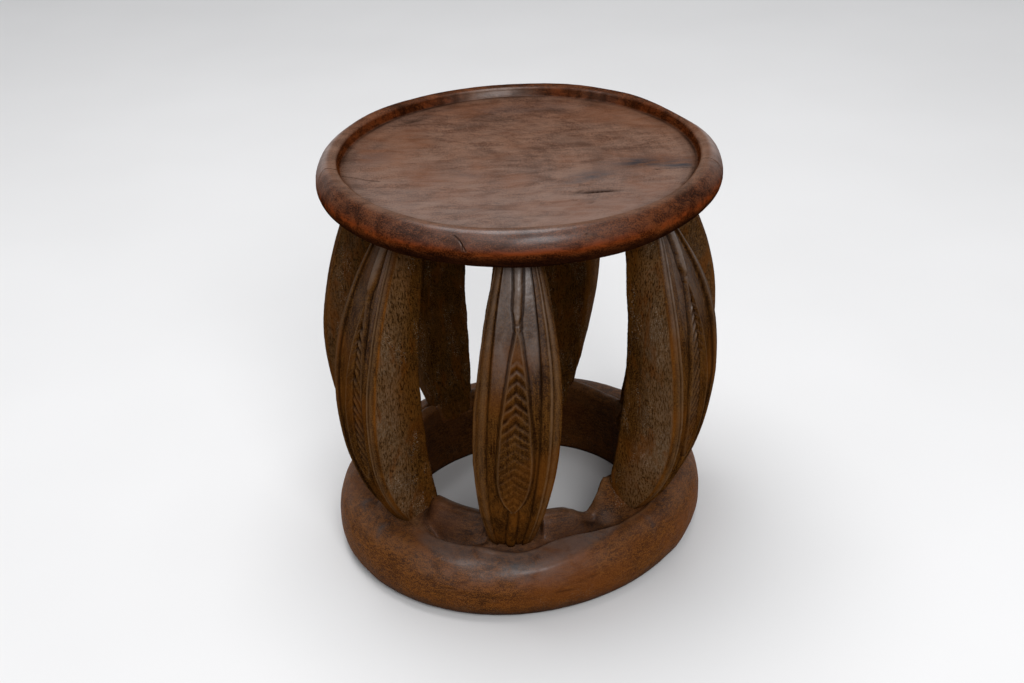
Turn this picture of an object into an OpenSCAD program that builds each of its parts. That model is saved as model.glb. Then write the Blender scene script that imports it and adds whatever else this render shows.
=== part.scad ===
// Carved round stool: dished seat, seven bowed staves and a heavy foot ring.
// Millimetres, +Z up. The floor is z = 0, the viewer's side is -Y, and the origin
// is the middle of the whole stool on the floor. Leg 1 faces the viewer and the
// others follow it towards +X.

/* [Seat] */
// Radius of the seat over its rim
seat_r = 180; // [165:1:215]
// Height of the rim, from the flat underside to its crest
seat_h = 38.5; // [34:0.5:56]
// Radial run of the rounding under the rim
rim_under_run = 30; // [18:1:36]
// Height of the rim's widest line above the underside
rim_mid_h = 20.5; // [12:0.5:26]
// Radial distance from the rim's edge to its crest
rim_crest_run = 12; // [8:0.5:14]
// Radial run of the rounding from the crest into the dish
rim_lip_run = 8; // [4:0.5:12]
// Height of that rounding
rim_lip_h = 3.5; // [2:0.5:6]
// Depth of the dish at its wall
dish_wall_h = 9.5; // [7:0.5:16]
// How far the dish wall leans in on its way down
dish_wall_lean = 3; // [0:0.5:6]
// How much deeper the dish is in its middle
dish_sag = 3; // [0:0.5:8]

/* [Foot ring] */
// Radius of the ring at its widest line
base_r = 176.5; // [168:0.5:200]
// Height of that widest line
base_mid_h = 23; // [14:1:34]
// Inset of the resting face's outer edge from the widest line
rest_inset = 14.5; // [10:0.5:20]
// Width of the ring, from the hole's upper edge to the widest line
ring_w = 64.5; // [58:0.5:76]
// How much wider the hole is at the floor
hole_flare = 4; // [0:0.5:8]
// Height of the shelf that the legs stand on
shelf_h = 58; // [46:1:70]
// Height of the inner crest above the shelf
crest_h = 22; // [8:1:30]
// Width of the crest's level top
crest_flat = 4; // [1:0.5:8]
// Run and rise of the crest's eased edges
crest_ease = 4; // [2:0.5:6]
// Width of the slope from the crest down to its toe
crest_slope_w = 8; // [3:0.5:10]
// Height of that toe above the shelf
crest_toe_h = 4; // [0:0.5:6]
// Shelf left free between the legs and the outer bead
bead_gap = 8; // [5:0.5:12]
// Height of the outer bead above the shelf
bead_h = 3; // [1:0.5:4]
// Radial run over which the bead rises from the shelf
bead_rise_run = 6; // [3:0.5:8]
// Ovality of the hand cut ring, as a share of its radius
base_oval = 0.043; // [0:0.001:0.05]
// Direction of the ring's longest radius, anticlockwise from +X
base_oval_dir = 36; // [0:1:180]

/* [Legs] */
// Height of the legs between the shelf and the underside of the seat
leg_h = 292; // [230:1:360]
// Depth of a foot, from the hole outwards
foot_depth = 24; // [20:0.5:30]
// Width of a foot's outer face
foot_out_w = 34; // [26:1:40]
// Width of a foot's inner face
foot_in_w = 44; // [34:1:46]
// Gap between a foot and the sides of its notch in the crest
notch_gap = 1.6; // [1.2:0.1:3]
// Inset of the leg heads from the edge of the flat underside
head_inset = 3.5; // [1:0.5:8]
// Depth of a head
head_depth = 30; // [22:1:36]
// Width of a head's outer face
head_out_w = 29; // [22:1:40]
// Width of a head's inner face
head_in_w = 40; // [30:1:44]
// How far the outer face bows out beyond the line from foot to head
bow_out = 52; // [30:1:60]
// How far the inner face bows out beyond the line from foot to head
bow_in = 17; // [0:1:24]
// Extra width of the outer face at the belly
belly_out_w = 40; // [20:1:46]
// Extra width of the inner face at the belly
belly_in_w = 11; // [0:1:16]
// Drop from the middle of the outer face to its long edges
face_crown = 7; // [3:0.5:10]

/* [Leg carving] */
// Height of the raised rib along each edge
rib_h = 1.5; // [0.5:0.5:2.5]
// Depth of the sunk field between the ribs
field_depth = 2.5; // [1:0.5:4]
// Height of the leaf above the sunk field
leaf_h = 2; // [0.5:0.5:3]
// Width of the leaf
leaf_w = 33; // [16:1:36]
// Height of the leaf's lower end above the shelf
leaf_low_h = 65; // [45:1:90]
// Distance from the leaf's upper tip to the underside of the seat
leaf_high_gap = 47; // [25:1:70]
// Width of the stems above and below the leaf
stem_w = 9; // [5:0.5:12]
// Length over which a stem runs out to the leaf's tip
stem_taper = 16; // [8:1:24]

/* [Hand cut placing] */
// Seat centre, measured from the origin towards +X
seat_x = 2.5; // [-10:0.5:10]
// Seat centre, measured from the origin towards +Y
seat_y = 1.5; // [-10:0.5:10]
// Ring centre, measured from the origin towards +X
base_x = -5.5; // [-10:0.5:10]
// Ring centre, measured from the origin towards +Y
base_y = -2.5; // [-10:0.5:10]
// Turn of each leg from its even place, anticlockwise seen from above
leg_turn = [-3, 5, 9, 9, 11, 0, -1];

/* [Hidden] */
wood_seat = [0.36, 0.24, 0.18];
wood_base = [0.31, 0.21, 0.15];
wood_leg = [0.25, 0.16, 0.10];

seat_z = shelf_h + leg_h;
under_r = seat_r - rim_under_run;
crest_r = seat_r - rim_crest_run;
lip_r = crest_r - rim_lip_run;
dish_r = lip_r - dish_wall_lean;
dish_z = seat_h - dish_wall_h;

base_rest_r = base_r - rest_inset;
hole_r = base_r - ring_w;
foot_out_r = hole_r + foot_depth;
head_out_r = under_r - head_inset;
head_in_r = head_out_r - head_depth;
bead_start_r = foot_out_r + bead_gap;
bead_top_r = bead_start_r + bead_rise_run;
bead_top_z = shelf_h + bead_h;
crest_outer_r = hole_r + 2 * crest_ease + crest_flat;
leaf_len = leg_h - leaf_low_h - leaf_high_gap;

leg_count = 7;
leg_step = 360 / leg_count;
notch_half = asin((foot_in_w / 2 + notch_gap) / (hole_r * (1 - base_oval)));
notch_ramp = 1;
crest_steps = 4;

round_steps = 8;
dish_steps = 6;
leg_steps = 22;

// Skews and powers of the leg outlines, fitted by eye to the hand cut shape
bow_skew = 0.9;
bow_power = 0.75;
width_skew = 1.15;
width_power = 0.85;
inner_power = 1.2;
leaf_skew = 0.53;
leaf_power = 0.5;
rim_power = 1.1;
ring_power = 0.9;
least_half_w = 0.8;

// Places of the carving lines across the outer face, as shares of its half width
rib_foot_out = 0.93;
rib_top = 0.82;
rib_foot_in = 0.70;
field_edge = 0.64;
leaf_limit = 0.60;
leaf_bevel = 1.4;
leaf_crown = 0.4;
least_bevel = 0.4;
side_chamfer = 2.5;

// A smooth rise and fall over u = 0 to 1
function bell(u, skew, power) = pow(max(0, sin(180 * pow(u, skew))), power);

// One quarter of a rounded outline, from angle a0 to a1, about (cr, cz)
function rounding(cr, cz, run, rise, a0, a1, power) = [
    for (i = [0:round_steps])
        let (a = a0 + (a1 - a0) * i / round_steps)
        [
            cr + run * sign(cos(a)) * pow(abs(cos(a)), power),
            cz + rise * sign(sin(a)) * pow(abs(sin(a)), power)
        ]
];

// Everything but the first point of an outline
function without_first(points) = [for (i = [1:len(points) - 1]) points[i]];

// The hand cut ring's radius factor in direction a, anticlockwise from +X
function oval(a) = 1 + base_oval * cos(2 * (a - base_oval_dir));

// Direction of leg i, anticlockwise from +X; leg 0 faces -Y
function leg_dir(i) = -90 + leg_step * i + leg_turn[i];

// The faces of a closed loft: rings of n points, bottom ring first
function loft_faces(n, rings) = concat(
    [[for (j = [0:n - 1]) j]],
    [
        for (k = [0:rings - 2])
            for (j = [0:n - 1])
                let (a = k * n + j, b = k * n + (j + 1) % n)
                each [[a, a + n, b], [b, a + n, b + n]]
    ],
    [[for (j = [0:n - 1]) rings * n - 1 - j]]
);

// The faces of a loft whose last ring joins its first
function ring_faces(n, rings) = [
    for (k = [0:rings - 1])
        for (j = [0:n - 1])
            let (
                m = (k + 1) % rings,
                a = k * n + j,
                b = k * n + (j + 1) % n,
                c = m * n + j,
                d = m * n + (j + 1) % n
            )
            each [[a, b, c], [b, d, c]]
];

// Seat: a turned outline of rim, lip and dish
module seat() {
    lower = rounding(under_r, rim_mid_h, rim_under_run, rim_mid_h, -90, 0, rim_power);
    upper = rounding(crest_r, rim_mid_h, rim_crest_run, seat_h - rim_mid_h, 0, 90, rim_power);
    lip = rounding(crest_r, seat_h - rim_lip_h, rim_lip_run, rim_lip_h, 90, 180, 1);
    floor_line = [
        for (i = [0:dish_steps])
            let (r = dish_r * (1 - i / dish_steps))
            [r, dish_z - dish_sag * (1 - pow(r / dish_r, 2))]
    ];
    color(wood_seat)
        translate([seat_x, seat_y, seat_z])
            rotate_extrude($fn = 96)
                polygon(concat(
                    [[0, 0]], lower, without_first(upper), without_first(lip), floor_line
                ));
}

// Section of the foot ring; top is 1 on the crest and 0 in a leg's notch
function base_section(top) = let (
    crest_z = shelf_h + crest_h * top,
    edge_z = crest_z - crest_ease * top
) concat(
    [
        [hole_r + hole_flare, 0],
        [hole_r, edge_z],
        [hole_r + crest_ease, crest_z],
        [hole_r + crest_ease + crest_flat, crest_z],
        [crest_outer_r, edge_z],
        [crest_outer_r + crest_slope_w, shelf_h + crest_toe_h * top],
        [bead_start_r, shelf_h]
    ],
    rounding(bead_top_r, base_mid_h, base_r - bead_top_r, bead_top_z - base_mid_h, 90, 0, ring_power),
    without_first(rounding(base_rest_r, base_mid_h, base_r - base_rest_r, base_mid_h, 0, -90, 1))
);

// Places round the ring: [direction, 1 on the crest or 0 in a notch]
function base_places() = [
    for (i = [0:leg_count - 1])
        let (
            here = leg_dir(i),
            next = i == leg_count - 1 ? leg_dir(0) + 360 : leg_dir(i + 1),
            from = here + notch_half + notch_ramp,
            to = next - notch_half - notch_ramp
        )
        each concat(
            [
                [here - notch_half, 0],
                [here - notch_half / 3, 0],
                [here + notch_half / 3, 0],
                [here + notch_half, 0]
            ],
            [for (k = [0:crest_steps]) [from + (to - from) * k / crest_steps, 1]]
        )
];

// Foot ring: a rounded ring with a raised inner crest, notched for the legs
module base_ring() {
    places = base_places();
    points = [
        for (p = places)
            let (k = oval(p[0]))
            for (q = base_section(p[1]))
                [q[0] * k * cos(p[0]), q[0] * k * sin(p[0]), q[1]]
    ];
    sides = len(base_section(0));
    color(wood_base)
        translate([base_x, base_y, 0])
            polyhedron(points, ring_faces(sides, len(places)), convexity = 6);
}

// Half width of the leaf, or of the stems beyond its ends, at height h above the shelf
function leaf_half(h) = let (
    u = (h - leaf_low_h) / leaf_len,
    beyond = max(leaf_low_h - h, h - leaf_low_h - leaf_len)
) u > 0 && u < 1
    ? max(least_half_w, leaf_w / 2 * bell(u, leaf_skew, leaf_power))
    : max(least_half_w, stem_w / 2 * min(1, beyond / stem_taper));

// Outer face of a leg at height share u: [distance across, distance out]
function outer_line(u, out_r, half) = let (
    leaf = leaf_half(u * leg_h),
    bevel = min(leaf + leaf_bevel, half * leaf_limit),
    right = [
        [half, 0],
        [half * rib_foot_out, 0],
        [half * rib_top, rib_h],
        [half * rib_foot_in, 0],
        [half * field_edge, -field_depth],
        [bevel, -field_depth],
        [min(leaf, bevel - least_bevel), leaf_h - field_depth]
    ],
    line = concat(
        [for (p = right) [-p[0], p[1]]],
        [[0, leaf_h - field_depth + leaf_crown]],
        [for (i = [len(right) - 1:-1:0]) right[i]]
    )
) [for (p = line) [p[0], out_r - face_crown * pow(p[0] / half, 2) + p[1]]];

// Section of leg i at height share u, in the stool's frame
function leg_section(i, u) = let (
    a = leg_dir(i),
    down = 1 - u,
    k = 1 + (oval(a) - 1) * down,
    bow = bell(u, bow_skew, bow_power),
    out_r = (foot_out_r + (head_out_r - foot_out_r) * u + bow_out * bow) * k,
    in_r = (hole_r + (head_in_r - hole_r) * u + bow_in * bell(u, 1, inner_power)) * k,
    out_half = (foot_out_w + (head_out_w - foot_out_w) * u
        + belly_out_w * bell(u, width_skew, width_power)) / 2,
    in_half = (foot_in_w + (head_in_w - foot_in_w) * u + belly_in_w * bell(u, 1, 1)) / 2,
    cx = seat_x + (base_x - seat_x) * down * down,
    cy = seat_y + (base_y - seat_y) * down * down,
    z = shelf_h + leg_h * u,
    line = concat(
        outer_line(u, out_r, out_half),
        [
            [in_half, in_r + side_chamfer],
            [in_half - side_chamfer, in_r],
            [side_chamfer - in_half, in_r],
            [-in_half, in_r + side_chamfer]
        ]
    )
) [for (p = line) [cx + p[1] * cos(a) - p[0] * sin(a), cy + p[1] * sin(a) + p[0] * cos(a), z]];

// One bowed stave, from the shelf to the underside of the seat
module leg(i) {
    sections = [
        for (k = [0:leg_steps])
            leg_section(i, (1 - cos(180 * k / leg_steps)) / 2)
    ];
    sides = len(sections[0]);
    color(wood_leg)
        polyhedron(
            [for (s = sections) each s],
            loft_faces(sides, leg_steps + 1),
            convexity = 6
        );
}

module leg_1() { leg(0); }
module leg_2() { leg(1); }
module leg_3() { leg(2); }
module leg_4() { leg(3); }
module leg_5() { leg(4); }
module leg_6() { leg(5); }
module leg_7() { leg(6); }

seat();
base_ring();
leg_1();
leg_2();
leg_3();
leg_4();
leg_5();
leg_6();
leg_7();
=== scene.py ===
import math
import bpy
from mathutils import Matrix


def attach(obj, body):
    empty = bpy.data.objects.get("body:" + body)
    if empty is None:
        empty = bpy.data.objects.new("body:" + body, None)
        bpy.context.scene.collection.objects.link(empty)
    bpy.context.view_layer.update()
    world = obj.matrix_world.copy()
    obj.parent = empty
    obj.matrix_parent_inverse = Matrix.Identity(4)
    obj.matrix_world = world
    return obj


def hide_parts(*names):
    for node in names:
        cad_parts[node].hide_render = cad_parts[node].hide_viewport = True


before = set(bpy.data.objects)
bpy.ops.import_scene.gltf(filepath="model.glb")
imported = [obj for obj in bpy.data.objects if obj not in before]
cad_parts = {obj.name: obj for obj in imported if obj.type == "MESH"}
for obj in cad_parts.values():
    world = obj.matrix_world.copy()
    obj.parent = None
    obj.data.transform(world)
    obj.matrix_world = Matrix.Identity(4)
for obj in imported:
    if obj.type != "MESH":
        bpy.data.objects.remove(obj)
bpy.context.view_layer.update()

from types import SimpleNamespace

import bpy
import numpy as np
from mathutils import Matrix, Vector

# Carved round stool: a dished seat, seven bowed staves and a heavy foot ring.
# The pieces' lengths are millimetres, as in the solids; the stage's are metres.
millimetre = 0.001

layout = {  # what the pieces share
    "seatCentre": (2.5, 1.5),
    "ringCentre": (-5.5, -2.5),
    "oval": 0.043,               # of the ring, and of the staves towards their feet
    "ovalDirection": 36.0,       # degrees from +X, as is firstLeg
    "firstLeg": -90.0,
    "legTurns": (-3, 5, 9, 9, 11, 0, -1),  # degrees of each leg from its even place
}
legNames = [f"leg_{i + 1}" for i in range(len(layout["legTurns"]))]


def legDirection(i):
    return layout["firstLeg"] + 360 / len(legNames) * i + layout["legTurns"][i]


def ovalAt(degrees):
    return 1 + layout["oval"] * np.cos(np.radians(2 * (degrees - layout["ovalDirection"])))


class Wire:  # one socket of a node tree, on which plain maths can be written
    def __init__(self, tree, socket=None):
        self.tree = tree
        self.socket = socket

    def node(self, kind, settings=None, inputs=None, out=0):
        made = self.tree.nodes.new(kind)
        for key, value in (settings or {}).items():
            if key == "stops":
                setStops(made.color_ramp, value)
            else:
                setattr(made, key, value)
        for key, value in (inputs or {}).items():
            if isinstance(value, Wire):
                self.tree.links.new(value.socket, made.inputs[key])
            else:
                made.inputs[key].default_value = value
        if isinstance(out, tuple):
            return [Wire(self.tree, made.outputs[i]) for i in out]
        return Wire(self.tree, made.outputs[out])

    def maths(self, operation, *rest):
        return self.node("ShaderNodeMath", {"operation": operation}, dict(enumerate((self, *rest))))

    def __add__(self, other):
        return self.maths("ADD", other)

    def __sub__(self, other):
        return self.maths("SUBTRACT", other)

    def __mul__(self, other):
        return self.maths("MULTIPLY", other)

    def __truediv__(self, other):
        return self.maths("DIVIDE", other)

    def __pow__(self, other):
        return self.maths("POWER", other)

    def __rsub__(self, other):
        return self.maths("MULTIPLY_ADD", -1, other)

    __radd__ = __add__
    __rmul__ = __mul__

    def atLeast(self, other):
        return self.maths("MAXIMUM", other)

    def atMost(self, other):
        return self.maths("MINIMUM", other)

    def size(self):
        return self.maths("ABSOLUTE")

    def step(self, low, high):  # smooth rise from 0 at low to 1 at high
        return self.node(
            "ShaderNodeMapRange",
            {"interpolation_type": "SMOOTHSTEP"},
            {"Value": self, "From Min": low, "From Max": high},
        )

    def hump(self, centre, halfWidth):  # rounded ridge with a crisp foot
        share = (self - centre) / halfWidth
        return (1 - share * share).atLeast(0)

    def swell(self, skew, power):  # smooth rise and fall over 0 to 1
        return (self**skew * math.pi).maths("SINE").atLeast(0) ** power

    def towards(self, other, share):
        return self + (other - self) * share

    def split(self):
        return self.node("ShaderNodeSeparateXYZ", None, {0: self}, out=(0, 1, 2))

    def vector(self, operation, other, slot=1, out=0):
        return self.node("ShaderNodeVectorMath", {"operation": operation}, {0: self, slot: other}, out)

    def scaled(self, factor):
        return self.vector("SCALE", factor, "Scale")

    def plus(self, other):
        return self.vector("ADD", other)

    def times(self, other):
        return self.vector("MULTIPLY", other)

    def noise(self, scale, detail=2.0, roughness=0.5, distortion=0.0, out=0):
        sizes = {"Scale": scale, "Detail": detail, "Roughness": roughness, "Distortion": distortion}
        return self.node("ShaderNodeTexNoise", {"noise_dimensions": "3D"}, {"Vector": self, **sizes}, out)

    def ramp(self, stops):
        return self.node("ShaderNodeValToRGB", {"stops": stops}, {0: self})

    def tint(self, other, share):  # colours only
        return self.node("ShaderNodeMix", {"data_type": "RGBA"}, {0: share, 6: self, 7: other}, 2)

    def show(self, output="ShaderNodeOutputMaterial"):  # as the surface of its material or world
        last = self.tree.nodes.new(output)
        self.tree.links.new(self.socket, last.inputs["Surface"])


def setStops(ramp, stops):
    while len(ramp.elements) > 1:
        ramp.elements.remove(ramp.elements[-1])
    ramp.elements[0].position, ramp.elements[0].color = stops[0]
    for position, colour in stops[1:]:
        ramp.elements.new(position).color = colour


def clearSheet(owner):  # the empty node tree of a material or world
    owner.use_nodes = True
    owner.node_tree.nodes.clear()
    return Wire(owner.node_tree)


def newSheet(name, sizes, takesMesh=False):
    tree = bpy.data.node_groups.new(name, "GeometryNodeTree")
    if takesMesh:
        tree.interface.new_socket(name="Geometry", in_out="INPUT", socket_type="NodeSocketGeometry")
    for label, value in sizes.items():
        socket = tree.interface.new_socket(name=label, in_out="INPUT", socket_type="NodeSocketFloat")
        socket.default_value = value
    tree.interface.new_socket(name="Geometry", in_out="OUTPUT", socket_type="NodeSocketGeometry")
    given = tree.nodes.new("NodeGroupInput")
    return Wire(tree), {socket.name: Wire(tree, socket) for socket in given.outputs if socket.name}


def endSheet(shape, material):
    smooth = shape.node("GeometryNodeSetShadeSmooth", None, {0: shape, "Shade Smooth": True})
    whole = smooth.node("GeometryNodeRealizeInstances", None, {0: smooth})
    dressed = whole.node("GeometryNodeSetMaterial", None, {"Geometry": whole, "Material": material})
    last = shape.tree.nodes.new("NodeGroupOutput")
    shape.tree.links.new(dressed.socket, last.inputs[0])


def takeMesh(piece, sheet, values):
    modifier = piece.modifiers.new(sheet.tree.name, "NODES")
    modifier.node_group = sheet.tree
    for socket in sheet.tree.interface.items_tree:
        if socket.in_out == "INPUT" and socket.name in values:
            modifier[socket.identifier] = float(values[socket.name])
    graph = bpy.context.evaluated_depsgraph_get()
    plain = bpy.data.meshes.new_from_object(
        piece.evaluated_get(graph), preserve_all_data_layers=True, depsgraph=graph
    )
    piece.modifiers.clear()
    piece.data = plain
    plain.name = piece.name
    return piece


def newPiece(name, data=None):
    piece = bpy.data.objects.new(name, data or bpy.data.meshes.new(name))
    bpy.context.scene.collection.objects.link(piece)
    return piece


def storeAttribute(shape, name, value):
    return shape.node(
        "GeometryNodeStoreNamedAttribute",
        {"data_type": "FLOAT", "domain": "POINT"},
        {"Geometry": shape, "Name": name, "Value": value},
    )


# What the hand left on the wood, with painted light and shade, kept on the points of each mesh from 0 to 1
handMarks = ("ridge", "cavity", "pitted", "polish", "rim", "glow", "stain")

# In each look the red orange glow colour is painted bounce light and highlight, the pale sheen colour is
# painted sheen, the dust colour is dust with painted sheen, and under, with its reach, sets painted shade on
# the undersides
woodLooks = {
    "seatWood": {
        "dark": (0.050, 0.020, 0.010, 1),
        "middle": (0.121, 0.054, 0.032, 1),
        "light": (0.184, 0.094, 0.057, 1),
        "warm": (0.150, 0.052, 0.020, 1),
        "gold": (0.150, 0.078, 0.042, 1),
        "dustAndSheen": (0.170, 0.120, 0.092, 1),
        "stain": (0.034, 0.031, 0.034, 1),
        "paintedSheen": (0.190, 0.130, 0.112, 1),
        "paintedSheenShare": 0.32,
        "glow": (0.170, 0.032, 0.006, 1),
        "rim": ((0.010, 0.0024, 0.0007, 1), (0.043, 0.0098, 0.0024, 1), (0.112, 0.031, 0.008, 1)),
        "dustAndSheenShare": 0.31,
        "under": 0.8,
        "underReach": 0.6,
        "grain": (0.16, 1.0, 1.0),
        "tones": {
            "patches": 1.3, "blotches": 0.9, "broad": 0.5, "streaks": 1.1, "fine": 1.6, "grit": 3.0,
            "arcs": 0.9,
        },
        "roughness": 0.50,
        "gloss": 0.0,
        "sheen": 0.62,
        "sheenRoughness": 0.28,
        "bump": 0.9,
    },
    "ringWood": {
        "dark": (0.030, 0.010, 0.003, 1),
        "middle": (0.098, 0.032, 0.0060, 1),
        "light": (0.170, 0.058, 0.0100, 1),
        "warm": (0.135, 0.038, 0.006, 1),
        "gold": (0.150, 0.070, 0.026, 1),
        "dustAndSheen": (0.115, 0.076, 0.052, 1),
        "stain": (0.034, 0.046, 0.052, 1),
        "paintedSheen": (0.125, 0.105, 0.098, 1),
        "paintedSheenShare": 0.45,
        "glow": (0.160, 0.040, 0.006, 1),
        "rim": ((0.010, 0.0034, 0.0009, 1), (0.040, 0.0150, 0.0042, 1), (0.092, 0.038, 0.012, 1)),
        "dustAndSheenShare": 0.12,
        "under": 0.85,
        "underReach": 0.8,
        "grain": (0.32, 0.32, 1.0),
        "tones": {"patches": 0.5, "blotches": 0.55, "broad": 0.65, "streaks": 1.5, "fine": 1.4, "grit": 2.4},
        "roughness": 0.55,
        "gloss": 0.03,
        "sheen": 0.62,
        "sheenRoughness": 0.34,
        "bump": 0.6,
    },
    "legWood": {
        "dark": (0.013, 0.0042, 0.0010, 1),
        "middle": (0.044, 0.0165, 0.0036, 1),
        "light": (0.104, 0.043, 0.0085, 1),
        "warm": (0.104, 0.032, 0.0040, 1),
        "gold": (0.130, 0.068, 0.028, 1),
        "dustAndSheen": (0.085, 0.058, 0.040, 1),
        "stain": (0.02, 0.02, 0.02, 1),
        "paintedSheen": (0.145, 0.111, 0.094, 1),
        "paintedSheenShare": 0.75,
        "glow": (0.190, 0.058, 0.006, 1),
        "dustAndSheenShare": 0.18,
        "under": 0.4,
        "underReach": 0.8,
        "grain": (1.0, 1.0, 0.08),
        "tones": {"patches": 0.45, "blotches": 0.45, "broad": 0.6, "streaks": 1.1, "fine": 1.3, "grit": 2.2},
        "roughness": 0.50,
        "gloss": 0.0,
        "sheen": 1.0,
        "sheenRoughness": 0.36,
        "bump": 0.9,
    },
}
toneNoises = {  # even, or half or fully drawn out along the grain; scale, detail, roughness, distortion
    "patches": ("even", 26, 3, 0.6, 0.6),
    "blotches": ("half", 80, 3, 0.6, 0.5),
    "broad": ("full", 190, 4, 0.65, 0.6),
    "streaks": ("full", 560, 3, 0.7, 0.3),
    "fine": ("even", 850, 3, 0.7),
    "grit": ("even", 1500, 2, 0.6),
    "flecks": ("half", 820, 4, 0.75),
    "warmth": ("even", 17, 2, 0.5),
    "specks": ("even", 1050, 2, 0.7),
    "speckPatches": ("half", 60, 2, 0.6),
}
adzeSwing = {  # faint curved strokes of the adze, round the point opposite the pivot
    "pivot": (0.10, 0.02, 0.0),
    "drift": 0.1,
    "noise": (300, 3, 0.65, 0.2),
}
markStrengths = {  # how strong each mark is, painted light and shade among them, the same on all three woods
    "pittedTone": 3.0,
    "warmPatches": 0.6,
    "limeAndGlintOnSides": 0.2,
    "lightOnPitted": 0.55,
    "warmOnPitted": 0.7,
    "dustAndSheenKeptOffRim": 0.9,
    "pits": 0.85,
    "limeAndGlintSpecks": 0.7,
    "shadeInCuts": 0.9,
    "wornShine": 0.12,
    "leastRoughness": 0.25,
    "bumpHeight": 0.0015,  # metres
}
# The colour of the painted shade in the cuts and underneath
nearBlack = (0.006, 0.002, 0.001, 1)
# The colour of lime on the sides, and of painted glints
limeAndGlint = (0.32, 0.25, 0.18, 1)


def woodTones(sheet, place, look):  # clouds, long grain, and the pores of the cut
    grains = {
        "even": place,
        "half": place.times(tuple(math.sqrt(share) for share in look["grain"])),
        "full": place.times(look["grain"]),
    }
    tones = {tone: grains[drawn].noise(*sizes) for tone, (drawn, *sizes) in toneNoises.items()}
    if "arcs" in look["tones"]:
        swing = place.plus(adzeSwing["pivot"]).vector("LENGTH", (0, 0, 0), out=1)
        bow = sheet.node("ShaderNodeCombineXYZ", None, {0: swing, 1: place.split()[0] * adzeSwing["drift"]})
        tones["arcs"] = bow.noise(*adzeSwing["noise"])
    return tones


def plainWood(look, tones, marks):
    tone = 0.5
    for layer, share in look["tones"].items():
        tone = (tones[layer] - 0.5) * share + tone
    tone = tone + (tones["fine"] + tones["grit"] - 1.0) * (marks.pitted * markStrengths["pittedTone"])
    wood = tone.ramp([(0.22, look["dark"]), (0.50, look["middle"]), (0.82, look["light"])])
    wood = wood.tint(look["warm"], tones["warmth"].step(0.45, 0.68) * markStrengths["warmPatches"])
    if "rim" in look:
        low, middle, high = look["rim"]
        wood = wood.tint(tone.ramp([(0.25, low), (0.52, middle), (0.85, high)]), marks.rim)
    return wood


# Where wear and painted highlights go on the ridges, the pits, and painted shade in the hollows
def wearLightAndShadePlaces(tones, marks):
    flecks, mottle = tones["flecks"], tones["patches"].step(0.35, 0.65)
    return SimpleNamespace(
        wornAndHighlit=(marks.ridge * (flecks * 1.6 + tones["blotches"] * 1.2 - 0.75).atLeast(0)).atMost(1),
        pits=flecks.step(0.52, 0.66) * (0.25 + 0.9 * mottle) * marks.pitted,
        sunk=(marks.cavity * (0.75 + 0.5 * flecks)).atMost(1),
        mottle=mottle,
    )


def wornLitAndShadedWood(wood, look, tones, marks, upward, places):
    blotches = tones["blotches"]
    # Painted glow in red orange, then wear and painted highlights in gold on the ridges
    patchy = blotches.step(0.38, 0.62) * tones["broad"].step(0.3, 0.6) * 0.75 + 0.12
    wood = wood.tint(look["glow"], marks.glow * patchy)
    wood = wood.tint(look["gold"], places.wornAndHighlit)

    # The plain sides of the staves, mottled, rubbed with lime and flecked with painted glints
    limedAndGlintingSide = marks.pitted * marks.ridge * (1 - tones["flecks"].step(0.44, 0.53))
    wood = wood.tint(limeAndGlint, limedAndGlintingSide * markStrengths["limeAndGlintOnSides"])
    wood = wood.tint(look["light"], marks.pitted * places.mottle * markStrengths["lightOnPitted"])
    wood = wood.tint(look["warm"], marks.pitted * blotches.step(0.50, 0.66) * markStrengths["warmOnPitted"])

    # Dust and painted sheen where the wood faces up, painted sheen where it is glossy, and stains
    dustAndSheenMask = upward.step(0.1, 0.95) * (blotches.step(0.3, 0.7) * 0.6 + 0.4) * look["dustAndSheenShare"]
    if "rim" in look:
        dustAndSheenMask = dustAndSheenMask * (1 - marks.rim * markStrengths["dustAndSheenKeptOffRim"])
    wood = wood.tint(look["dustAndSheen"], dustAndSheenMask)
    paintedSheenMask = upward.step(-0.1, 0.5) * marks.polish * (blotches.step(0.25, 0.65) * 0.7 + 0.3)
    wood = wood.tint(look["paintedSheen"], paintedSheenMask * look["paintedSheenShare"])
    wood = wood.tint(look["stain"], marks.stain * blotches.step(0.30, 0.62))

    # Pits, specks of lime and painted glints, painted shade in the cuts, and painted shade underneath
    wood = wood.tint(look["dark"], places.pits.atMost(1) * markStrengths["pits"])
    specks = tones["specks"].step(0.58, 0.66) * tones["speckPatches"].step(0.50, 0.62) * marks.pitted
    wood = wood.tint(limeAndGlint, specks * markStrengths["limeAndGlintSpecks"])
    wood = wood.tint(nearBlack, places.sunk * markStrengths["shadeInCuts"])
    return wood.tint(nearBlack, (0 - upward).step(-0.05, look["underReach"]) * look["under"])


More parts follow.
